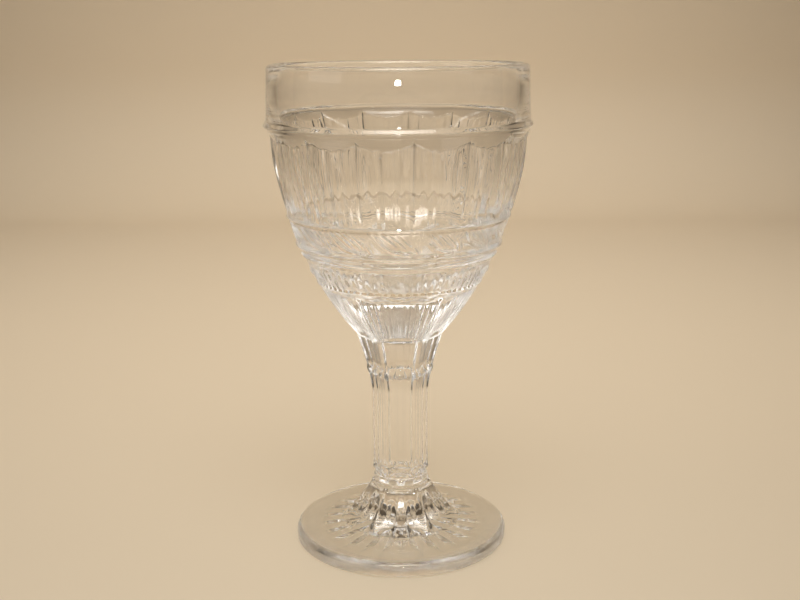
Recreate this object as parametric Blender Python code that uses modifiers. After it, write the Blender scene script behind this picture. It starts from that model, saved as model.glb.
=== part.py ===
"""Pressed-glass wine glass: bowl, stem, collar and foot, each a solid of its own.

Metres, +Z up. The origin is at the middle of the face that the glass stands on.
The four pieces are stacked on the Z axis with a hairline gap where they are fused.
"""
import math

import bpy

MM = 0.001

# Driving dimensions
HEIGHT = 140 * MM
RIM_RADIUS = 36.5 * MM
RIM_WALL = 2.4 * MM
FOOT_RADIUS = 31.5 * MM
STEM_RADIUS = 8.2 * MM          # to the corners of the six-sided stem
JOINT_GAP = 0.3 * MM

SIDES = 6                       # flats on the stem, the bowl's cone and the foot's dome
FLUTES = 15
FLUTE_PITCH = math.tau / FLUTES
FIRST_FLUTE = math.radians(-96)  # to the middle of a flute
ROUND_STEPS = 6 * FLUTES        # so that every ridge falls on an edge of the turned wall
ARC_STEPS = 6

# Heights of the joints and of the bands, from the foot up
FOOT_TOP = 16.7 * MM
COLLAR_TOP = 20.0 * MM
STEM_TOP = 51.0 * MM
CONE_TOP = 62.7 * MM            # where the six-sided cone meets the cup
CAVITY_BOTTOM = 77.0 * MM
LEDGE = 89.8 * MM               # the step under the upper leaf band
FLUTE_BOTTOM = 98.0 * MM
FLUTE_TOP = 120.5 * MM
LIP = 124.4 * MM                # the small ring under the plain rim band
RIM_ROUND = RIM_WALL / 2

# Radii that follow from the rim, the stem and the foot
LIP_RADIUS = RIM_RADIUS + 1.1 * MM
FLUTE_TOP_RADIUS = RIM_RADIUS - 0.5 * MM
FLUTE_BOTTOM_RADIUS = RIM_RADIUS - 4.7 * MM
LEDGE_RADIUS = RIM_RADIUS - 7.1 * MM
CUP_BASE_RADIUS = STEM_RADIUS + 4.4 * MM
STEM_FLARE = 6.5 * MM
COLLAR_NECK = STEM_RADIUS - 1.4 * MM
DOME_TOP_RADIUS = STEM_RADIUS + 0.7 * MM
DOME_FOOT_RADIUS = STEM_RADIUS + 11.5 * MM
CAVITY_RADIUS = RIM_RADIUS - RIM_WALL

# The foot's plate
EDGE_HEIGHT = 4.2 * MM
EDGE_ROUND = 1.9 * MM
PLATE_CROWN = 6.2 * MM          # height of the plate at its middle, inside the dome
REST_INNER = FOOT_RADIUS - 6.5 * MM
REST_OUTER = FOOT_RADIUS - 1.0 * MM
UNDERSIDE_HOLLOW = 1.2 * MM

# The lip and the ledge
LIP_BEAD = 0.9 * MM
LEDGE_STEP_OUT = 1.3 * MM
LEDGE_STEP_DOWN = 0.9 * MM
CUP_TOP = LEDGE - 2.5 * MM
CUP_TOP_RADIUS = LEDGE_RADIUS - 1.5 * MM

# The flutes
FLUTE_FILL = 0.96               # share of the pitch that a flute takes; the rest is its ridge
FLUTE_HOLLOW = 0.45 * MM        # how far the middle is sunk below a flat from ridge to ridge
FLUTE_RUNOUT = 2.6 * MM         # length of the slope at each end

GLASS_COLOUR = (0.93, 0.93, 0.91, 1.0)
MERGE = 0.00001


def clear_scene():
    for item in list(bpy.data.objects):
        bpy.data.objects.remove(item, do_unlink=True)


def new_collection(name):
    collection = bpy.data.collections.new(name)
    bpy.context.scene.collection.children.link(collection)
    return collection


def glass_material(name, roughness):
    material = bpy.data.materials.new(name)
    material.use_nodes = True
    shader = material.node_tree.nodes["Principled BSDF"]
    shader.inputs["Base Color"].default_value = GLASS_COLOUR
    shader.inputs["Metallic"].default_value = 0.0
    shader.inputs["Roughness"].default_value = roughness
    shader.inputs["Transmission Weight"].default_value = 1.0
    shader.inputs["IOR"].default_value = 1.5
    return material


def arc(centre_r, centre_z, radius, start_deg, end_deg, steps=ARC_STEPS):
    """Points on an arc in the (radius, height) plane, both ends included."""
    points = []
    for i in range(steps + 1):
        angle = math.radians(start_deg + (end_deg - start_deg) * i / steps)
        points.append((centre_r + radius * math.cos(angle), centre_z + radius * math.sin(angle)))
    return points


def heights(top, bottom, count):
    """Evenly spaced heights from top to bottom, both ends included."""
    return [top + (bottom - top) * i / (count - 1) for i in range(count)]


def turned(name, profile, steps, collection):
    """A profile of (radius, height) points swept once round the Z axis."""
    mesh = bpy.data.meshes.new(name)
    vertices = [(radius, 0.0, height) for radius, height in profile]
    edges = [(i, i + 1) for i in range(len(profile) - 1)]
    mesh.from_pydata(vertices, edges, [])
    turned_object = bpy.data.objects.new(name, mesh)
    collection.objects.link(turned_object)
    screw = turned_object.modifiers.new("Turn", "SCREW")
    screw.angle = math.tau
    screw.steps = steps
    screw.render_steps = steps
    screw.use_merge_vertices = True
    screw.merge_threshold = MERGE
    return turned_object


def make_cutter(cutter):
    cutter.hide_render = True
    cutter.display_type = "WIRE"
    return cutter


def boolean(target, cutter, operation):
    modifier = target.modifiers.new(operation.title(), "BOOLEAN")
    modifier.operation = operation
    modifier.solver = "EXACT"
    modifier.object = cutter


def finish(piece, material, sharp_deg):
    """Evaluates the modifiers into the mesh, shades it smooth and gives it its glass."""
    depsgraph = bpy.context.evaluated_depsgraph_get()
    mesh = bpy.data.meshes.new_from_object(piece.evaluated_get(depsgraph))
    mesh.name = piece.name
    piece.modifiers.clear()
    piece.data = mesh
    mesh.materials.clear()
    mesh.materials.append(material)
    mesh.shade_smooth()
    mesh.set_sharp_from_angle(angle=math.radians(sharp_deg))


def flute_radius(height):
    """Outside of the fluted zone: it leans in faster and faster towards its foot."""
    share = (FLUTE_TOP - height) / (FLUTE_TOP - FLUTE_BOTTOM)
    return FLUTE_TOP_RADIUS - (FLUTE_TOP_RADIUS - FLUTE_BOTTOM_RADIUS) * share ** 1.7


def cup_radius(height):
    """Outside of the round cup under the ledge: a shallow bowed cone."""
    share = (CUP_TOP - height) / (CUP_TOP - CONE_TOP)
    drop = CUP_TOP_RADIUS - CUP_BASE_RADIUS
    return CUP_TOP_RADIUS - drop * (0.7 * share + 0.3 * share ** 2)


def cone_radius(height):
    """Corner radius of the six-sided cone: it sweeps in to the stem like a fillet."""
    flare_start = STEM_TOP - STEM_FLARE
    share = (height - flare_start) / (CONE_TOP - flare_start)
    return STEM_RADIUS + (CUP_BASE_RADIUS - STEM_RADIUS) * share ** 1.45


def cavity_radius(height):
    """Inside of the bowl: nearly straight at the rim, rounding in to a bowl below."""
    top = HEIGHT - RIM_ROUND
    share = (top - height) / (top - CAVITY_BOTTOM)
    return CAVITY_RADIUS * math.sqrt(max(0.0, 1.0 - share ** 2.6))


def dome_height(radius):
    """Corner line of the foot's dome: steep at the collar, running out over the plate."""
    share = (radius - DOME_TOP_RADIUS) / (DOME_FOOT_RADIUS - DOME_TOP_RADIUS)
    return EDGE_HEIGHT + (FOOT_TOP - EDGE_HEIGHT) * (1.0 - share) ** 1.4


def bowl_profile():
    """Up the inner wall from the cavity's middle, over the rim and down the outside."""
    rim_centre_r = RIM_RADIUS - RIM_ROUND
    rim_centre_z = HEIGHT - RIM_ROUND
    inner = [(0.0, CAVITY_BOTTOM)]
    inner_steps = 12
    for i in range(1, inner_steps):
        turn = math.pi / 2 * i / inner_steps
        height = CAVITY_BOTTOM + (rim_centre_z - CAVITY_BOTTOM) * (1 - math.cos(turn))
        inner.append((cavity_radius(height), height))
    rim = arc(rim_centre_r, rim_centre_z, RIM_ROUND, 180, 0)
    lip = arc(LIP_RADIUS - LIP_BEAD, LIP, LIP_BEAD, 55, -55, 4)
    flutes = [(flute_radius(z), z) for z in heights(FLUTE_TOP, FLUTE_BOTTOM, 6)]
    ledge = [
        (LEDGE_RADIUS, LEDGE),
        (LEDGE_RADIUS - LEDGE_STEP_OUT, LEDGE - LEDGE_STEP_DOWN),
    ]
    cup = [(cup_radius(z), z) for z in heights(CUP_TOP, CONE_TOP, 6)]
    bottom = STEM_TOP + JOINT_GAP
    cone = [(cone_radius(z), z) for z in heights(CONE_TOP, bottom, 6)[1:]]
    return inner + rim + lip + flutes + ledge + cup + cone + [(0.0, bottom)]


def facet_envelope():
    """A six-sided solid that is clear of the round cup and trims it to flats below it."""
    clear = HEIGHT + 5 * MM
    wide = LIP_RADIUS * 1.3
    facet_top = CAVITY_BOTTOM + 1.5 * MM
    facet_start = CAVITY_BOTTOM - 1.7 * MM
    clear_of_round = cup_radius(facet_top) / math.cos(math.pi / SIDES)
    outline = [
        (0.0, clear),
        (wide, clear),
        (wide, facet_top + 8 * MM),
        (clear_of_round, facet_top),
        (cup_radius(facet_start), facet_start),
    ]
    cone = [(cone_radius(z), z) for z in heights(CONE_TOP, STEM_TOP + JOINT_GAP, 6)]
    below = STEM_TOP - STEM_FLARE
    return outline + cone + [(STEM_RADIUS, below), (0.0, below)]


def flute_rows():
    """Heights down one flute and how far its floor is lifted clear of the wall there."""
    top = FLUTE_TOP + FLUTE_RUNOUT / 2
    bottom = FLUTE_BOTTOM + FLUTE_RUNOUT
    lift = 1.4 * MM
    middle = heights(top - FLUTE_RUNOUT, bottom + FLUTE_RUNOUT, 5)
    return [(top, lift)] + [(height, 0.0) for height in middle] + [(bottom, lift)]


def flute_mesh():
    """A pad as wide as one flute, whose slightly hollow inner face follows the wall."""
    across = (1.0, 0.5, 0.0, -0.5, -1.0)
    clear = 4.0 * MM
    half_pitch = FLUTE_PITCH / 2
    vertices = []
    for height, lift in flute_rows():
        wall = flute_radius(min(height, FLUTE_TOP))
        half_width = wall * math.sin(half_pitch) * FLUTE_FILL
        for share in across:
            floor = wall * math.cos(half_pitch) - FLUTE_HOLLOW * (1.0 - share ** 2) + lift
            vertices.append((floor, half_width * share, height))
        vertices.append((wall + clear, -half_width, height))
        vertices.append((wall + clear, half_width, height))
    count = len(across) + 2
    row_starts = range(0, len(vertices) - count, count)
    faces = [tuple(range(count)), tuple(reversed(range(len(vertices) - count, len(vertices))))]
    for start in row_starts:
        for i in range(count):
            after = (i + 1) % count
            faces.append((start + i, start + count + i, start + count + after, start + after))
    mesh = bpy.data.meshes.new("flute_cutter")
    mesh.from_pydata(vertices, [], faces)
    return mesh


def flute_cutters(collection):
    """One cutter for each flute, evenly spaced round the axis."""
    mesh = flute_mesh()
    cutters = []
    for index in range(FLUTES):
        cutter = make_cutter(bpy.data.objects.new(f"flute_cutter_{index + 1}", mesh))
        collection.objects.link(cutter)
        cutter.rotation_euler = (0.0, 0.0, FIRST_FLUTE + FLUTE_PITCH * index)
        cutters.append(cutter)
    return cutters


def make_bowl(parts, cutters):
    bowl = turned("bowl", bowl_profile(), ROUND_STEPS, parts)
    envelope = make_cutter(turned("facet_envelope", facet_envelope(), SIDES, cutters))
    boolean(bowl, envelope, "INTERSECT")
    for cutter in flute_cutters(cutters):
        boolean(bowl, cutter, "DIFFERENCE")
    finish(bowl, glass_material("bowl_glass", 0.03), 25)


def make_stem(parts):
    """A six-sided bar that flares a little into the bowl and is waisted at the collar."""
    bottom = COLLAR_TOP
    flare = [(cone_radius(z), z) for z in heights(STEM_TOP, STEM_TOP - STEM_FLARE, 4)]
    waist = [
        (STEM_RADIUS, bottom + 2.6 * MM),
        (STEM_RADIUS - 0.5 * MM, bottom + 1.2 * MM),
        (STEM_RADIUS - 0.7 * MM, bottom),
    ]
    profile = [(0.0, STEM_TOP)] + flare + waist + [(0.0, bottom)]
    stem = turned("stem", profile, SIDES, parts)
    finish(stem, glass_material("stem_glass", 0.03), 25)


def make_collar(parts):
    """A round wafer with a full edge."""
    top = COLLAR_TOP - JOINT_GAP
    bottom = FOOT_TOP + JOINT_GAP
    edge = (top - bottom) / 2
    rounding = arc(COLLAR_NECK, bottom + edge, edge, 90, -90)
    profile = [(0.0, top)] + rounding + [(0.0, bottom)]
    collar = turned("collar", profile, 48, parts)
    finish(collar, glass_material("collar_glass", 0.03), 40)


def make_foot(parts, cutters):
    """A round base, hollowed a little underneath, with a six-sided dome on it."""
    plate = []
    for i in range(3):
        radius = 10 * MM * i
        fall = (PLATE_CROWN - EDGE_HEIGHT) * (radius / (FOOT_RADIUS - EDGE_ROUND)) ** 2
        plate.append((radius, PLATE_CROWN - fall))
    edge_centre = EDGE_HEIGHT - EDGE_ROUND
    upper_edge = arc(FOOT_RADIUS - EDGE_ROUND, edge_centre, EDGE_ROUND, 80, 0)
    lower_round = FOOT_RADIUS - REST_OUTER
    lower_edge = arc(REST_OUTER, lower_round, lower_round, 0, -90, 3)
    underside = []
    for i in range(5):
        radius = REST_INNER * (1 - i / 4)
        underside.append((radius, UNDERSIDE_HOLLOW * (1 - (radius / REST_INNER) ** 2)))
    foot = turned("foot", plate + upper_edge + lower_edge + underside, ROUND_STEPS, parts)
    dome_profile = [(0.0, FOOT_TOP)]
    for i in range(6):
        radius = DOME_TOP_RADIUS + (DOME_FOOT_RADIUS - DOME_TOP_RADIUS) * i / 5
        dome_profile.append((radius, dome_height(radius)))
    dome_profile.append((0.0, EDGE_HEIGHT / 2))
    dome = make_cutter(turned("foot_dome", dome_profile, SIDES, cutters))
    boolean(foot, dome, "UNION")
    finish(foot, glass_material("foot_glass", 0.04), 25)


def main():
    clear_scene()
    parts = new_collection("wine_glass")
    cutters = new_collection("cutters")
    make_bowl(parts, cutters)
    make_stem(parts)
    make_collar(parts)
    make_foot(parts, cutters)


main()
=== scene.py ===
import math

import bpy
import numpy as np
from mathutils import Matrix, Vector


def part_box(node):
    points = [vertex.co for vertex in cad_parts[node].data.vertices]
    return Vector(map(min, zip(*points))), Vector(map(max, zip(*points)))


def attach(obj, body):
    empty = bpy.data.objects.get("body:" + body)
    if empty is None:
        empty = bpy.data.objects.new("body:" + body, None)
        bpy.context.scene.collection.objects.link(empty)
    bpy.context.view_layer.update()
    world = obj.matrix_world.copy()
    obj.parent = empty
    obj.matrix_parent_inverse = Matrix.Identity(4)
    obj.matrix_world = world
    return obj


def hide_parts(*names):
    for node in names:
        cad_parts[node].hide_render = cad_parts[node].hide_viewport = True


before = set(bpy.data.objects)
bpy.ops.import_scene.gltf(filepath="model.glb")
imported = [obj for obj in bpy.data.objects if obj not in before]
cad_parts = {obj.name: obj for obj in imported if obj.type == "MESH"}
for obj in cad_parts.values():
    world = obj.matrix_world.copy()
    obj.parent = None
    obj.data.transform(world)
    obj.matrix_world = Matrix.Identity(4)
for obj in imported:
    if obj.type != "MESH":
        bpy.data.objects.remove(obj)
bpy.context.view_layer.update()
print("frame loaded")

mm = 0.001
fullTurn = 2 * math.pi

# places taken from the frame, in millimetres
bowlLow, bowlHigh = [[v / mm for v in corner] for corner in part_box("bowl")]
stemLow, stemHigh = [[v / mm for v in corner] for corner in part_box("stem")]
collarLow, collarHigh = [[v / mm for v in corner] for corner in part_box("collar")]
footLow, footHigh = [[v / mm for v in corner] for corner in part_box("foot")]

rimHeight = bowlHigh[2]
lipRadius = bowlHigh[0]
bowlJoint = (bowlLow[2] + stemHigh[2]) / 2      # the pieces are fused at these heights
stemJoint = (stemLow[2] + collarHigh[2]) / 2
collarJoint = (collarLow[2] + footHigh[2]) / 2


def smoothStep(x):
    # 3x^2 - 2x^3 between 0 and 1, flat outside
    x = np.clip(x, 0.0, 1.0)
    return x * x * (3.0 - 2.0 * x)


def bump(x, centre, halfWidth):
    # squared cosine hump, 1 at the centre and 0 from the half width on
    away = np.clip(np.abs(x - centre) / halfWidth, 0.0, 1.0)
    return np.cos(away * math.pi / 2) ** 2


def softMin(a, b, blend):
    # the smaller of two surfaces, with their crossing rounded over about the blend
    share = np.clip(0.5 + 0.5 * (b - a) / blend, 0.0, 1.0)
    return b + (a - b) * share - blend * share * (1.0 - share)


def sidedRatio(angle, sides, hollow, soft=0.045):
    # radius over corner radius of a polygon with a corner at angle 0: its sides are drawn in by
    # the hollow, and its corners are rounded over by the soft angle
    half = math.pi / sides
    off = np.abs(np.mod(angle, 2 * half) - half)
    fromCorner = np.sqrt((half - off) ** 2 + soft ** 2)
    flat = math.cos(half - soft) / np.cos(half - fromCorner)
    return flat - hollow * np.cos(off / half * math.pi / 2) ** 2


def spread(stretches, end):
    # places from (start, rows) pairs: each stretch runs to the next start, and the last to the end
    stops = [start for start, rows in stretches[1:]] + [end]
    places = [
        np.linspace(start, stop, rows, endpoint=False)
        for (start, rows), stop in zip(stretches, stops)
    ]
    return np.concatenate(places + [[end]])


def around(columns):
    # angles of the columns, once round
    return np.arange(columns) / columns * fullTurn


def ringRows(values, angle):
    # each value repeated round its own ring
    return np.repeat(values[:, None], len(angle), axis=1)


def ringMesh(name, radius, height, angle):
    # a closed skin from rings of (radius, height) over the angles, in order from one pole on the
    # axis to the other
    rows, columns = radius.shape
    points = np.stack([radius * np.cos(angle), radius * np.sin(angle), height], axis=-1).reshape(-1, 3)
    firstPole = [[0.0, 0.0, float(height[0].mean())]]
    lastPole = [[0.0, 0.0, float(height[-1].mean())]]
    points = np.concatenate([points, firstPole, lastPole]) * mm
    here = np.arange(rows * columns).reshape(rows, columns)
    right = np.roll(here, -1, axis=1)
    quads = np.stack([here[:-1], here[1:], right[1:], right[:-1]], axis=-1).reshape(-1, 4)
    first = np.full(columns, rows * columns)
    firstFan = np.stack([first, here[0], right[0]], axis=-1)
    lastFan = np.stack([first + 1, right[-1], here[-1]], axis=-1)
    mesh = bpy.data.meshes.new(name)
    mesh.from_pydata(points.tolist(), [], quads.tolist() + firstFan.tolist() + lastFan.tolist())
    mesh.shade_smooth()
    piece = bpy.data.objects.new(name, mesh)
    bpy.context.scene.collection.objects.link(piece)
    return piece


jointReach = 0.01               # mm above or below the joint
levelNormal = 0.99              # upright part of a level face's normal
sharpEdge = math.radians(60)


def fusedFaces(piece, heights):
    # second material slot on the level faces that lie at a joint
    mesh = piece.data
    centres = np.empty(len(mesh.polygons) * 3, np.float32)
    normals = np.empty(len(mesh.polygons) * 3, np.float32)
    mesh.polygons.foreach_get("center", centres)
    mesh.polygons.foreach_get("normal", normals)
    centreZ = centres.reshape(-1, 3)[:, 2] / mm
    level = np.abs(normals.reshape(-1, 3)[:, 2]) > levelNormal
    atJoint = np.zeros(len(mesh.polygons), bool)
    for height in heights:
        atJoint |= np.abs(centreZ - height) < jointReach
    mesh.polygons.foreach_set("material_index", (atJoint & level).astype(np.int32))
    mesh.set_sharp_from_angle(angle=sharpEdge)


# the sizes are noise scales, per metre, and the depths are in metres
glass = {
    "colour": (0.985, 0.978, 0.965),
    "tint": (0.962, 0.958, 0.962),      # where the melt is a shade greyer
    "tintSize": 40.0,
    "ior": 1.5,
    "waveSize": 95.0,                   # swells about a centimetre long
    "waveDepth": 0.00006,
    "drawSize": (420.0, 420.0, 45.0),   # fine upright draw marks
    "drawDepth": 0.000004,
    "smudge": 0.012,                    # roughness of handled glass
    "smudgeSize": 70.0,
    "smudgeBand": (0.52, 0.72),         # the noise from where smudges start to where they are full
    "scratchSize": (2600.0, 700.0, 900.0),
    "shadow": (0.95, 0.94, 0.92, 1.0),
}


def glassSurface():
    # shared by all the pieces: colour, roughness and height of pressed glass, with more and more
    # rubbing from one height to another
    group = bpy.data.node_groups.new("glassSurface", "ShaderNodeTree")
    for name in ("Rub From", "Rub To", "Rub"):
        group.interface.new_socket(name, in_out="INPUT", socket_type="NodeSocketFloat")
    group.interface.new_socket("Color", in_out="OUTPUT", socket_type="NodeSocketColor")
    group.interface.new_socket("Roughness", in_out="OUTPUT", socket_type="NodeSocketFloat")
    group.interface.new_socket("Height", in_out="OUTPUT", socket_type="NodeSocketFloat")
    nodes, links = group.nodes, group.links
    given = nodes.new("NodeGroupInput")
    out = nodes.new("NodeGroupOutput")
    place = nodes.new("ShaderNodeTexCoord")

    def noise(scale, detail, stretch=None):
        texture = nodes.new("ShaderNodeTexNoise")
        texture.inputs["Scale"].default_value = scale
        texture.inputs["Detail"].default_value = detail
        source = place.outputs["Object"]
        if stretch is not None:
            mapping = nodes.new("ShaderNodeMapping")
            mapping.inputs["Scale"].default_value = stretch
            links.new(source, mapping.inputs["Vector"])
            source = mapping.outputs["Vector"]
        links.new(source, texture.inputs["Vector"])
        return texture.outputs["Fac"]

    def reckon(operation, first, second):
        # one sum on two values, each a number or the output of a node
        step = nodes.new("ShaderNodeMath")
        step.operation = operation
        for socket, value in zip(step.inputs, (first, second)):
            if isinstance(value, float):
                socket.default_value = value
            else:
                links.new(value, socket)
        return step.outputs["Value"]

    # colour: slow drift between two clear shades
    shade = nodes.new("ShaderNodeMix")
    shade.data_type = "RGBA"
    shade.inputs["A"].default_value = (*glass["colour"], 1.0)
    shade.inputs["B"].default_value = (*glass["tint"], 1.0)
    links.new(noise(glass["tintSize"], 2.0), shade.inputs["Factor"])
    links.new(shade.outputs["Result"], out.inputs["Color"])
    # roughness: faint smudges, plus the rubbed zone broken up by fine scratches
    smudges = nodes.new("ShaderNodeMapRange")
    smudges.inputs["From Min"].default_value = glass["smudgeBand"][0]
    smudges.inputs["From Max"].default_value = glass["smudgeBand"][1]
    smudges.inputs["To Max"].default_value = glass["smudge"]
    links.new(noise(glass["smudgeSize"], 4.0), smudges.inputs["Value"])
    apart = nodes.new("ShaderNodeSeparateXYZ")
    links.new(place.outputs["Object"], apart.inputs["Vector"])
    zone = nodes.new("ShaderNodeMapRange")
    links.new(apart.outputs["Z"], zone.inputs["Value"])
    links.new(given.outputs["Rub From"], zone.inputs["From Min"])
    links.new(given.outputs["Rub To"], zone.inputs["From Max"])
    scratches = noise(1.0, 3.0, glass["scratchSize"])
    scratched = reckon("MULTIPLY", zone.outputs["Result"], scratches)
    rubbed = reckon("MULTIPLY", scratched, given.outputs["Rub"])
    links.new(reckon("ADD", rubbed, smudges.outputs["Result"]), out.inputs["Roughness"])
    # height in metres: the swell of the mould and finer draw marks
    swell = reckon("MULTIPLY", noise(glass["waveSize"], 1.5), glass["waveDepth"])
    marks = reckon("MULTIPLY", noise(1.0, 2.0, glass["drawSize"]), glass["drawDepth"])
    links.new(reckon("ADD", swell, marks), out.inputs["Height"])
    return group


surfaceGroup = glassSurface()


def pressedGlass(name, rub):
    # clear glass over the shared surface; the rub is (from height, to height, roughness), in metres
    material = bpy.data.materials.new(name)
    material.use_nodes = True
    nodes, links = material.node_tree.nodes, material.node_tree.links
    shader = nodes["Principled BSDF"]
    shader.inputs["IOR"].default_value = glass["ior"]
    shader.inputs["Transmission Weight"].default_value = 1.0
    surface = nodes.new("ShaderNodeGroup")
    surface.node_tree = surfaceGroup
    for socket, value in zip(("Rub From", "Rub To", "Rub"), rub):
        surface.inputs[socket].default_value = value
    links.new(surface.outputs["Color"], shader.inputs["Base Color"])
    links.new(surface.outputs["Roughness"], shader.inputs["Roughness"])
    relief = nodes.new("ShaderNodeBump")
    relief.inputs["Strength"].default_value = 1.0
    relief.inputs["Distance"].default_value = 1.0
    links.new(surface.outputs["Height"], relief.inputs["Height"])
    links.new(relief.outputs["Normal"], shader.inputs["Normal"])
    # lamps shine through, so the glass throws the faint shadow of clear glass
    path = nodes.new("ShaderNodeLightPath")
    clear = nodes.new("ShaderNodeBsdfTransparent")
    clear.inputs["Color"].default_value = glass["shadow"]
    mix = nodes.new("ShaderNodeMixShader")
    links.new(path.outputs["Is Shadow Ray"], mix.inputs["Fac"])
    links.new(shader.outputs["BSDF"], mix.inputs[1])
    links.new(clear.outputs["BSDF"], mix.inputs[2])
    links.new(mix.outputs["Shader"], nodes["Material Output"].inputs["Surface"])
    return material


def fusedJoint():
    # two pieces are one glass where they are fused, so the faces there have no surface to see
    material = bpy.data.materials.new("fusedJoint")
    material.use_nodes = True
    material.node_tree.nodes["Principled BSDF"].inputs["Alpha"].default_value = 0.0
    return material


jointGlass = fusedJoint()


def dress(piece, node, material, joints):
    # materials, and the body that the piece goes with; the CAD node that it stands for is hidden
    fusedFaces(piece, joints)
    piece.data.materials.append(material)
    piece.data.materials.append(jointGlass)
    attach(piece, "root")
    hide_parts(node)
    print(node + ":", len(piece.data.polygons), "faces")


# from here to the studio, lengths are in millimetres, apart from the rubs

# the six-sided column that the foot of the bowl and the stem share
column = {
    "sides": 6,
    "coneTop": rimHeight - 77.3,
    "coneTopRadius": 12.6,
    "radius": 8.2,
    "flare": 6.5,               # how far below the joint the cone's sweep ends
    "sweep": 1.45,              # power of the sweep: higher is slimmer
    "hollow": 0.045,            # of the corner radius
    "waist": 0.7,
    "waistLength": 2.6,
    "panelEnd": (1.0, 1.8),     # (above the joint, half height) of the panels' rounded ends
    "panelEndShare": 0.8,       # how nearly round it gets there
    "reeds": 24,
    "grooveDepth": 0.2,
    "grooveWidth": 0.25,        # of the wave that spaces them: small is narrow
    "beadDepth": 0.42,
    "upperBeads": (0.6, 1.5),   # (above the joint, half height)
    "lowerBeads": (1.3, 1.1),   # (below the waist's top, half height)
}


def columnRadius(angle, z):
    # corner radius of the cone's sweep, the straight stem and its waist, times the six-sided ratio
    start = bowlJoint - column["flare"]
    share = np.clip((z - start) / (column["coneTop"] - start), 0.0, 1.0)
    flare = (column["coneTopRadius"] - column["radius"]) * share ** column["sweep"]
    waistTop = stemJoint + column["waistLength"]
    down = np.clip((waistTop - z) / column["waistLength"], 0.0, 1.0)
    corner = column["radius"] + flare - column["waist"] * smoothStep(down)
    ratio = sidedRatio(angle, column["sides"], column["hollow"])
    # the panels run out in rounded ends at the joint and in the waist
    above, halfHeight = column["panelEnd"]
    rounding = column["panelEndShare"] * bump(z, bowlJoint + above, halfHeight)
    rounding = rounding + smoothStep((down - 0.3) / 0.5)
    radius = corner * (ratio + (1.0 - ratio) * np.clip(rounding, 0.0, 1.0))
    # narrow grooves between reeds all the way, and a row of beads on the reeds at each end
    above, upperHalf = column["upperBeads"]
    below, lowerHalf = column["lowerBeads"]
    beads = bump(z, bowlJoint + above, upperHalf) + bump(z, waistTop - below, lowerHalf)
    reeds = np.cos(column["reeds"] * angle)
    grooves = np.exp(-(1.0 + reeds) / column["grooveWidth"])
    return radius + column["beadDepth"] * beads * reeds - column["grooveDepth"] * grooves


# heights in the bowl are drops below the rim
bowl = {
    "columns": 600,
    "rub": (0.1385, 0.14, 0.02),        # the rim is worn a little by use
    "wall": 2.4,
    "cavityDepth": 63.0,
    "cavityPower": 2.6,         # higher is squarer
    "cavityRows": 20,
    "rimRows": 8,
    "lipProud": 1.1,
    "lip": 16.4,
    "bandFlare": 0.55,          # how much wider the rim band is at the lip
    "bandOverlap": 0.5,         # how far the band's wall goes on under the lip
    "fluteTop": 19.5,
    "fluteFoot": 42.0,
    "ledge": 50.2,
    "cupTop": 52.7,
    "fluteTopIn": 0.6,          # how far the wall has come in from the rim, at these three
    "fluteFootIn": 4.9,
    "ledgeIn": 7.3,
    "fluteBow": 1.7,            # power of the fluted wall's bow
    "ledgeStep": 1.45,
    "ledgeSlope": 0.2,          # how much more it comes in under the step
    "cupBow": 0.38,             # the share of the cup's fall that goes with the square of the drop
    "lipFillet": 1.0,           # how far the wall swells out to meet the lip, over the drop below it
    "filletDrop": 4.2,
    "ceilingFoot": 20.8,        # the flutes are cut off at the top by a cone that ends here
    "ceilingIn": 1.6,
    "ceilingSlope": 0.66,
    "ceilingProud": 0.75,       # the wall stays within this much outside the rim
    "flutes": 15,
    "firstRidge": math.radians(-83.4),
    "fluteDepth": 1.2,
    "flutePower": 1.7,          # higher is flatter across the flute
    "scoopGap": 1.5,            # from the flute's scooped end to the ring below
    "scoopLength": 3.0,
    "ridgeRaise": 0.36,
    "ridgeWidth": 0.36,
    "streakDepth": 0.12,
    "streakSway": 0.35,         # how fast the streaks sway with height
    "streaks": (                # (to the turn, share of the depth, start, sway in radians)
        (60, 1.0, 0.0, 0.01),
        (105, 0.7, 1.0, 0.0),
        (87, 0.6, 2.0, -0.01),
    ),
    "rings": {                  # (further down, raise, half height) of the ring at each height
        "lip": (0.0, 0.6, 1.3),
        "fluteFoot": (0.0, 0.4, 0.8),
        "ledge": (-0.2, 0.35, 0.8),
        "cupTop": (0.2, 0.35, 0.9),
    },
    "upperLeaves": (0.8, 1.0),  # gaps to the flute foot above and the ledge below
    "lowerLeaves": (1.0, 7.2),  # gap to the cup's top above, and height
    "scallops": 18,
    "scallopRow": (62.3, 1.1, 0.35),    # drop, half height, depth
    "sixSided": (61.2, 3.4),    # the drop where the round cup starts to turn six-sided, and over what
    "coneRound": (0.45, 1.2),   # how nearly round the cone's top is, and its half height
    "coneBlend": 1.6,
    "facetZone": (62.0, 77.0),
    "facetStreaks": 0.09,
    "facetWaves": (             # (to the turn, share of the depth, bend in radians, bends to the turn)
        (72, 1.0, 0.9, 6),
        (48, 0.7, 0.6, 12),
    ),
    "seams": 3,
    "seamRaise": 0.16,
    "seamWidth": 0.3,
    "rows": (                   # (drop, rows to the next drop) down the outside, closer in detail
        (1.2, 3),
        (15.0, 9),
        (17.8, 13),
        (23.0, 8),
        (37.0, 5),
        (41.2, 5),
        (42.8, 20),
        (49.2, 14),
        (54.2, 16),
        (60.4, 9),
        (65.0, 6),
        (75.8, 8),
        (78.8, 9),
    ),
}

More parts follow.
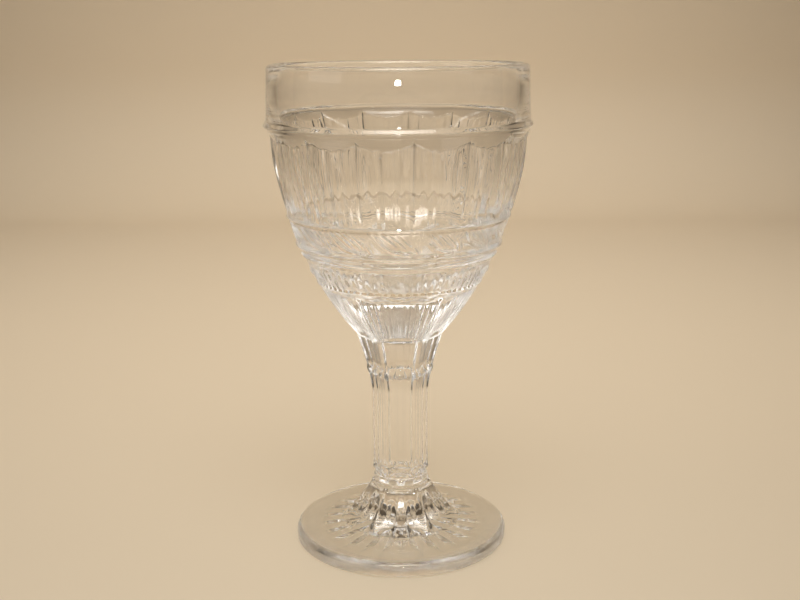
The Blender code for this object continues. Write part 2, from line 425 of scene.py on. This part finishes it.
# places in a leaf are shares: across its flute's width from the left, and up its band's height
leaf = {
    "margin": 0.06,             # over which a band fades out at the top and foot
    "sink": 0.4,                # mm that the bands lie deeper
    "barbDepth": 0.3,           # mm
    "ribDepth": 0.42,           # mm
    "ribStart": (0.2, 0.95),    # (across, up)
    "ribFall": 4.3,             # higher falls more steeply
    "ribWidth": 0.075,
    "barbs": 6.5,               # strokes across one leaf
    "barbLean": 0.34,
    "barbBend": 0.16,           # how much more they lean further up
    "fingers": 9.0,
    "fingerLean": 0.25,
    "fingerShare": 0.9,         # of the barbs' depth
    "sprayStrokes": 5.0,
    "sprayShare": 0.7,          # of the barbs' depth
    "sprayLeaf": (0.2, 0.14),   # width and height
}

rimRadius = lipRadius - bowl["lipProud"]
coneDrop = rimHeight - column["coneTop"]


def cavityRadius(z):
    # superellipse: nearly straight at the rim, rounding in to the cavity's bottom
    top = rimHeight - bowl["wall"] / 2
    bottom = rimHeight - bowl["cavityDepth"]
    share = np.clip((top - z) / (top - bottom), 0.0, 1.0)
    return (rimRadius - bowl["wall"]) * np.sqrt(1.0 - share ** bowl["cavityPower"])


def outerRadius(drop):
    # rim band, bowed fluted wall, sloping leaf wall, ledge and bowed cup, from the rim down
    band = rimRadius + bowl["bandFlare"] * np.clip(drop / bowl["lip"], 0.0, 1.0)
    share = np.clip((drop - bowl["fluteTop"]) / (bowl["fluteFoot"] - bowl["fluteTop"]), 0.0, 1.0)
    bow = (bowl["fluteFootIn"] - bowl["fluteTopIn"]) * share ** bowl["fluteBow"]
    slope = np.clip((drop - bowl["fluteFoot"]) / (bowl["ledge"] - bowl["fluteFoot"]), 0.0, 1.0)
    leafWall = rimRadius - bowl["fluteTopIn"] - bow - (bowl["ledgeIn"] - bowl["fluteFootIn"]) * slope
    ledge = leafWall - bowl["ledgeStep"] * smoothStep(drop - bowl["ledge"])
    ledge = ledge - bowl["ledgeSlope"] * smoothStep((drop - bowl["ledge"] - 1.0) / 1.5)
    top = rimRadius - bowl["ledgeIn"] - bowl["ledgeStep"]
    down = np.clip((drop - bowl["cupTop"]) / (coneDrop - bowl["cupTop"]), 0.0, 1.0)
    fall = (1.0 - bowl["cupBow"]) * down + bowl["cupBow"] * down ** 2
    cup = top - (top - column["coneTopRadius"]) * fall
    wall = np.where(drop < bowl["cupTop"], ledge, cup)
    return np.where(drop < bowl["lip"] + bowl["bandOverlap"], band, wall)


def streaks(angle, drop):
    # the fine upright streaks that the mould leaves: cosine waves round the glass that sway a
    # little with height
    sway = np.sin((rimHeight - drop) * bowl["streakSway"])
    waves = [
        share * np.cos(count * (angle + swing * sway) + start)
        for count, share, start, swing in bowl["streaks"]
    ]
    return bowl["streakDepth"] * sum(waves)


def flutedRadius(angle, panel, drop, wall):
    # hollow flutes between raised ridges, each scooped out at its foot, under a conical ceiling
    hollow = 1.0 - np.abs(2 * panel - 1.0) ** bowl["flutePower"]
    footRise = (bowl["fluteFoot"] - bowl["scoopGap"] - drop) / bowl["scoopLength"]
    scoop = np.sqrt(1.0 - (1.0 - np.clip(footRise, 0.0, 1.0)) ** 2)
    fromRidge = np.minimum(panel, 1.0 - panel) * fullTurn / bowl["flutes"] * wall
    ridge = bowl["ridgeRaise"] * np.exp(-(fromRidge / bowl["ridgeWidth"]) ** 2)
    filletRise = (bowl["lip"] + bowl["filletDrop"] - drop) / (bowl["filletDrop"] - 0.4)
    fillet = bowl["lipFillet"] * smoothStep(filletRise)
    cut = bowl["fluteDepth"] * hollow + streaks(angle, drop) - ridge
    fluted = wall + fillet - cut * scoop
    ceiling = rimRadius - bowl["ceilingIn"] + (bowl["ceilingFoot"] - drop) * bowl["ceilingSlope"]
    return softMin(np.maximum(ceiling, fluted), rimRadius + bowl["ceilingProud"], 0.2)


def plume(across, up):
    # one leaf of the upper band: a rib that starts at the top left and falls in an exponential
    # curve to a tip at the right, with barbs standing on it and a tuft of short fingers under
    # its start
    ribAcross, ribUp = leaf["ribStart"]
    above = up - ribUp * np.exp(-leaf["ribFall"] * (across - ribAcross))
    body = smoothStep(above / 0.1) * smoothStep((across - 0.12) / 0.1)
    body = body * (0.55 + 0.45 * np.sin(3.0 + 9.0 * above))
    lean = across + leaf["barbLean"] * up + leaf["barbBend"] * up * up
    barbs = np.sin(fullTurn * leaf["barbs"] * lean) * body
    rib = np.exp(-((above - 0.02) / leaf["ribWidth"]) ** 2) * smoothStep((across - 0.16) / 0.06)
    fingers = np.sin(fullTurn * leaf["fingers"] * (across + leaf["fingerLean"] * up))
    fingers = fingers * bump(across, 0.08, 0.16) * bump(up, 0.3, 0.3)
    return leaf["barbDepth"] * (barbs + leaf["fingerShare"] * fingers) + leaf["ribDepth"] * rib


def sprays(across, up):
    # the lower band: upright strokes that swell in the middle, over two small leaves
    strokes = np.sin(fullTurn * leaf["sprayStrokes"] * across) * (0.35 + 0.65 * bump(up, 0.42, 0.4))
    width, height = leaf["sprayLeaf"]
    fromStalk = np.mod(across * 2.0, 1.0) - 0.5
    blades = np.exp(-(fromStalk / width) ** 2 - ((up - 0.38 + 0.5 * fromStalk) / height) ** 2)
    return leaf["barbDepth"] * leaf["sprayShare"] * strokes + leaf["ribDepth"] * blades


def leafBand(pattern, panel, drop, top, height):
    # a pattern in one sunk band, faded out at the top and foot
    down = (drop - top) / height
    mask = smoothStep(down / leaf["margin"]) * smoothStep((1.0 - down) / leaf["margin"])
    return mask * (pattern(panel, 1.0 - down) - leaf["sink"])


def bothBands(panel, drop):
    # plumes between the flutes and the ledge, and sprays under the cup's top
    aboveUpper, belowUpper = bowl["upperLeaves"]
    top = bowl["fluteFoot"] + aboveUpper
    upper = leafBand(plume, panel, drop, top, bowl["ledge"] - belowUpper - top)
    aboveLower, height = bowl["lowerLeaves"]
    lower = leafBand(sprays, panel, drop, bowl["cupTop"] + aboveLower, height)
    return upper + lower


def sixSidedRadius(angle, drop, radius):
    # under the leaves a scalloped line, then the round cup turns six-sided, with fine streaks
    # on its facets, and runs into the column
    centre, halfHeight, depth = bowl["scallopRow"]
    radius = radius - depth * bump(drop, centre, halfHeight) * np.cos(bowl["scallops"] * angle)
    ratio = sidedRatio(angle, column["sides"], column["hollow"])
    start, over = bowl["sixSided"]
    share, halfHeight = bowl["coneRound"]
    rounding = share * bump(drop, coneDrop, halfHeight)
    radius = radius * (1.0 - smoothStep((drop - start) / over) * (1.0 - ratio) * (1.0 - rounding))
    top, foot = bowl["facetZone"]
    onFacets = smoothStep((drop - top) / 3.0) * smoothStep((foot - drop) / 2.0)
    waves = [
        share * np.cos(count * angle + bend * np.sin(bends * angle))
        for count, share, bend, bends in bowl["facetWaves"]
    ]
    radius = radius + bowl["facetStreaks"] * onFacets * sum(waves)
    coneShare = smoothStep((drop - coneDrop) / bowl["coneBlend"] + 0.5)
    return radius * (1.0 - coneShare) + columnRadius(angle, rimHeight - drop) * coneShare


def seamRelief(angle, drop, radius):
    # mould seams on every fifth ridge, from the lip to the ledge
    pitch = fullTurn / bowl["seams"]
    offSeam = np.mod(angle - bowl["firstRidge"] + pitch / 2, pitch) - pitch / 2
    mask = smoothStep((drop - bowl["lip"]) / 1.5) * smoothStep(bowl["ledge"] - drop)
    return bowl["seamRaise"] * mask * np.exp(-(offSeam * radius / bowl["seamWidth"]) ** 2)


def outsideSurface(angle, drop):
    # the wall with its flutes, lip, rings, leaves, six-sided foot and seams, as a radius
    wall = outerRadius(drop)
    pitch = fullTurn / bowl["flutes"]
    panel = np.mod((angle - bowl["firstRidge"]) / pitch, 1.0)       # 0 and 1 at the ridges
    radius = np.where(drop > bowl["lip"], flutedRadius(angle, panel, drop, wall), wall)
    for place, (further, height, halfHeight) in bowl["rings"].items():
        radius = radius + height * bump(drop, bowl[place] + further, halfHeight)
    radius = radius + bothBands(panel, drop)
    radius = sixSidedRadius(angle, drop, radius)
    return radius + seamRelief(angle, drop, radius)


def bowlPiece():
    # up the inside from the cavity's bottom, over the fire-polished half round of the rim and
    # down the outside
    angle = around(bowl["columns"])
    halfWall = bowl["wall"] / 2
    top = rimHeight - halfWall
    bottom = rimHeight - bowl["cavityDepth"]
    quarter = np.linspace(0.04, 1.0, bowl["cavityRows"]) * math.pi / 2
    innerZ = bottom + (top - bottom) * (1.0 - np.cos(quarter))
    turn = np.linspace(math.pi, 0.0, bowl["rimRows"] + 1)[1:-1]
    rimR = rimRadius - halfWall + halfWall * np.cos(turn)
    rimZ = top + halfWall * np.sin(turn)
    smoothR = ringRows(np.concatenate([cavityRadius(innerZ), rimR]), angle)
    smoothZ = ringRows(np.concatenate([innerZ, rimZ]), angle)
    drop = ringRows(spread(bowl["rows"], rimHeight - bowlJoint), angle)
    radius = np.concatenate([smoothR, outsideSurface(angle, drop)])
    height = np.concatenate([smoothZ, rimHeight - drop])
    piece = ringMesh("bowlGlass", radius, height, angle)
    material = pressedGlass("bowlPressedGlass", bowl["rub"])
    dress(piece, "bowl", material, [bowlJoint])


stem = {
    "columns": 360,
    "rub": (0.019, 0.023, 0.01),
    "upperEnd": (3.0, 12),      # (length, rows)
    "middleRows": 20,
    "lowerEnd": (4.0, 18),
}


def stemPiece():
    # the column between its two joints, with closer rows at both ends
    angle = around(stem["columns"])
    upperLength, upperRows = stem["upperEnd"]
    lowerLength, lowerRows = stem["lowerEnd"]
    length = bowlJoint - stemJoint
    rows = ((0.0, upperRows), (upperLength, stem["middleRows"]), (length - lowerLength, lowerRows))
    height = ringRows(bowlJoint - spread(rows, length), angle)
    piece = ringMesh("stemGlass", columnRadius(angle, height), height, angle)
    material = pressedGlass("stemPressedGlass", stem["rub"])
    dress(piece, "stem", material, [bowlJoint, stemJoint])


collar = {
    "columns": 180,
    "rows": 15,
    "neck": 7.2,
    "rub": (0.017, 0.02, 0.01),
}


def collarPiece():
    # a half-round edge between the stem's waist and the foot's dome
    angle = around(collar["columns"])
    turn = np.linspace(0.0, math.pi, collar["rows"])
    z1 = (stemJoint + collarJoint) / 2 + (stemJoint - collarJoint) / 2 * np.cos(turn)
    r1 = collar["neck"] + (collarHigh[0] - collar["neck"]) * np.sin(turn)
    piece = ringMesh("collarGlass", ringRows(r1, angle), ringRows(z1, angle), angle)
    material = pressedGlass("collarPressedGlass", collar["rub"])
    dress(piece, "collar", material, [stemJoint, collarJoint])


foot = {
    "columns": 480,
    "rub": (0.0008, 0.0, 0.35),         # ground dull where it rests
    "sides": 6,
    "domeCorner": 8.7,
    "domeFoot": 18.0,
    "domeFall": 1.4,            # power of the dome's fall: higher is more hollow
    "domeHollow": 0.05,         # of the corner radius
    "domeRows": 34,
    "hexTop": 0.08,             # share of the way down where the round top has turned six-sided
    "hexFoot": 0.75,            # and where it starts to turn round again
    "reeds": 24,
    "reedDepth": 0.22,
    "petals": 12,
    "petalStep": 0.5,
    "petalNotch": 0.80,         # share of the way down
    "petalLength": 0.16,
    "plateHeight": 5.8,
    "plateRows": 12,
    "edgeHeight": 4.2,
    "edgeRound": 1.9,
    "edgeRows": 8,
    "lowRound": 1.0,            # height of the rounding from the edge to the resting ring
    "lowRows": 6,
    "restOuter": 30.5,
    "restInner": 25.0,
    "hollow": 1.2,
    "underRows": 40,
    "rays": 24,
    "rayDepth": 0.9,
}


def domeSurface(angle):
    # a hollow-sided hexagon that opens downwards into a round plate, faintly reeded, ending in
    # petals: a small step whose edge runs in arches
    reach = ringRows(np.linspace(0.0, 1.0, foot["domeRows"]), angle)
    corner = foot["domeCorner"] + (foot["domeFoot"] - foot["domeCorner"]) * reach
    fall = (1.0 - reach) ** foot["domeFall"]
    height = foot["plateHeight"] + (collarJoint - foot["plateHeight"]) * fall
    hexShare = smoothStep(reach / foot["hexTop"])
    hexShare = hexShare * (1.0 - smoothStep((reach - foot["hexFoot"]) / (1.0 - foot["hexFoot"])))
    ratio = sidedRatio(angle, foot["sides"], foot["domeHollow"])
    radius = corner * (1.0 - (1.0 - ratio) * hexShare)
    radius = radius + foot["reedDepth"] * np.cos(foot["reeds"] * angle) * bump(reach, 0.55, 0.55)
    arch = np.abs(np.cos(foot["petals"] / 2 * (angle + math.pi / foot["petals"])))
    petalEdge = foot["petalNotch"] + foot["petalLength"] * np.sqrt(arch)
    step = smoothStep((reach - petalEdge) / 0.05) * smoothStep((1.0 - reach) / 0.04)
    return radius, height - foot["petalStep"] * step


def plateSurface(angle):
    # from the dome's foot over the rounded edge to the ring that the glass rests on
    edge = footHigh[0]
    share = np.linspace(0.0, 1.0, foot["plateRows"])[1:]
    plateR = foot["domeFoot"] + (edge - foot["edgeRound"] - foot["domeFoot"]) * share
    plateZ = foot["plateHeight"] + (foot["edgeHeight"] - foot["plateHeight"]) * share
    turn = np.linspace(math.pi / 2, 0.0, foot["edgeRows"] + 1)[1:]
    edgeR = edge - foot["edgeRound"] + foot["edgeRound"] * np.cos(turn)
    edgeZ = foot["edgeHeight"] - foot["edgeRound"] + foot["edgeRound"] * np.sin(turn)
    lowTurn = np.linspace(0.0, math.pi / 2, foot["lowRows"] + 1)
    lowR = foot["restOuter"] + (edge - foot["restOuter"]) * np.cos(lowTurn)
    lowZ = foot["lowRound"] * (1.0 - np.sin(lowTurn))
    radius = ringRows(np.concatenate([plateR, edgeR, lowR]), angle)
    return radius, ringRows(np.concatenate([plateZ, edgeZ, lowZ]), angle)


def undersideSurface(angle):
    # a shallow hollow inside the resting ring, with a star of V grooves that fade out at both ends
    inner = foot["restInner"]
    radius = ringRows(np.linspace(inner, 1.0, foot["underRows"]), angle)
    height = foot["hollow"] * (1.0 - (radius / inner) ** 2)
    offRay = np.abs(np.mod(angle / (fullTurn / foot["rays"]), 1.0) - 0.5) * 2.0
    length = smoothStep((inner - 0.5 - radius) / 8.0) * smoothStep((radius - 1.0) / 5.0)
    return radius, height + foot["rayDepth"] * length * (1.0 - offRay)


def footPiece():
    # dome, plate and underside in one skin, from the top down
    angle = around(foot["columns"])
    parts = [domeSurface(angle), plateSurface(angle), undersideSurface(angle)]
    radius = np.concatenate([part[0] for part in parts])
    height = np.concatenate([part[1] for part in parts])
    piece = ringMesh("footGlass", radius, height, angle)
    material = pressedGlass("footPressedGlass", foot["rub"])
    dress(piece, "foot", material, [collarJoint])


bowlPiece()
stemPiece()
collarPiece()
footPiece()


# the studio is in metres
studio = {
    "floorColour": (0.76, 0.63, 0.46, 1.0),
    "floorRoughness": 0.7,
    "width": 8.0,
    "front": -4.0,
    "back": 0.7,
    "sweep": 0.12,
    "sweepRows": 17,
    "wallTop": 1.3,
    "sink": 0.0001,             # a hair under the glass
    "sky": (0.58, 0.52, 0.46, 1.0),
    "horizonStrength": 0.06,
    "skyStrength": 0.08,
    "skyFade": 0.6,             # sine of the height from which the sky has its full strength
    "bounces": 48,              # light runs a long way inside glass by inner reflection
    "clearBounces": 24,
}


def cyclorama():
    # one sheet: a floor that sweeps up into a wall behind
    back, sweep = studio["back"], studio["sweep"]
    turn = np.linspace(0.0, math.pi / 2, studio["sweepRows"])
    y1 = np.concatenate([[studio["front"]], back - sweep + sweep * np.sin(turn), [back]])
    z1 = np.concatenate([[0.0], sweep - sweep * np.cos(turn), [studio["wallTop"]]]) - studio["sink"]
    x1 = np.array([-studio["width"] / 2, studio["width"] / 2])
    y, x = np.meshgrid(y1, x1, indexing="ij")
    z = np.repeat(z1[:, None], 2, axis=1)
    points = np.stack([x, y, z], axis=-1).reshape(-1, 3)
    here = np.arange(len(y1) * 2).reshape(-1, 2)
    quads = np.stack([here[:-1, 0], here[:-1, 1], here[1:, 1], here[1:, 0]], axis=-1)
    mesh = bpy.data.meshes.new("studioFloor")
    mesh.from_pydata(points.tolist(), [], quads.tolist())
    mesh.shade_smooth()
    floor = bpy.data.objects.new("studioFloor", mesh)
    bpy.context.scene.collection.objects.link(floor)
    material = bpy.data.materials.new("paleFloor")
    material.use_nodes = True
    shader = material.node_tree.nodes["Principled BSDF"]
    shader.inputs["Base Color"].default_value = studio["floorColour"]
    shader.inputs["Roughness"].default_value = studio["floorRoughness"]
    mesh.materials.append(material)


def studioWorld():
    # a dim room, its strength graded by the sine of the height above the horizon
    world = bpy.data.worlds.new("studioWorld")
    world.use_nodes = True
    nodes, links = world.node_tree.nodes, world.node_tree.links
    background = nodes["Background"]
    background.inputs["Color"].default_value = studio["sky"]
    place = nodes.new("ShaderNodeTexCoord")
    apart = nodes.new("ShaderNodeSeparateXYZ")
    links.new(place.outputs["Generated"], apart.inputs["Vector"])
    fade = nodes.new("ShaderNodeMapRange")
    fade.interpolation_type = "SMOOTHSTEP"
    fade.inputs["From Max"].default_value = studio["skyFade"]
    fade.inputs["To Min"].default_value = studio["horizonStrength"]
    fade.inputs["To Max"].default_value = studio["skyStrength"]
    links.new(apart.outputs["Z"], fade.inputs["Value"])
    links.new(fade.outputs["Result"], background.inputs["Strength"])
    bpy.context.scene.world = world


softboxes = (
    {
        "name": "keySoftbox",   # lights the floor and the wall, which the glass bends
        "place": (0.0, -0.25, 0.95),
        "target": (0.0, 0.35, 0.05),
        "size": 0.7,
        "watts": 2.1,
        "colour": (1.0, 0.96, 0.9),
        "spread": 65,
    },
    {
        "name": "sideSoftbox",
        "place": (-0.7, -0.35, 0.45),
        "target": (0.0, 0.0, 0.08),
        "size": 0.5,
        "watts": 0.8,
        "colour": (1.0, 0.98, 0.95),
        "spread": 180,
    },
    {
        "name": "lensLight",    # small, for the glints
        "place": (0.0, -0.34, 0.175),
        "target": (0.0, 0.0, 0.08),
        "size": 0.024,
        "watts": 0.55,
        "colour": (0.95, 0.98, 1.0),
        "spread": 180,
    },
)


def areaLight(box):
    # a square lamp that faces its target
    data = bpy.data.lights.new(box["name"], "AREA")
    data.energy = box["watts"]
    data.color = box["colour"]
    data.size = box["size"]
    data.spread = math.radians(box["spread"])
    lamp = bpy.data.objects.new(box["name"], data)
    aim = Vector(box["target"]) - Vector(box["place"])
    lamp.location = box["place"]
    lamp.rotation_euler = aim.to_track_quat("-Z", "Y").to_euler()
    bpy.context.scene.collection.objects.link(lamp)


view = {
    "distance": 0.3219,         # from the glass's axis
    "height": 0.1484,
    "sideways": 0.00015,
    "pitch": math.radians(13.28),
    "roll": math.radians(-0.42),
    "lens": 51.1,
    "nearest": 0.01,
}


def makeCamera():
    data = bpy.data.cameras.new("camera")
    data.lens = view["lens"]
    data.clip_start = view["nearest"]
    camera = bpy.data.objects.new("camera", data)
    pitch = Matrix.Rotation(math.pi / 2 - view["pitch"], 4, "X")
    roll = Matrix.Rotation(view["roll"], 4, "Z")
    place = Matrix.Translation((view["sideways"], -view["distance"], view["height"]))
    camera.matrix_world = place @ pitch @ roll
    bpy.context.scene.collection.objects.link(camera)
    bpy.context.scene.camera = camera


cyclorama()
studioWorld()
for box in softboxes:
    areaLight(box)
makeCamera()

bpy.context.scene.view_settings.view_transform = "Standard"
cycles = bpy.context.scene.cycles
cycles.max_bounces = studio["bounces"]
cycles.transmission_bounces = studio["bounces"]
cycles.glossy_bounces = studio["bounces"]
cycles.transparent_max_bounces = studio["clearBounces"]
cycles.caustics_reflective = False
cycles.caustics_refractive = False
print("studio ready")
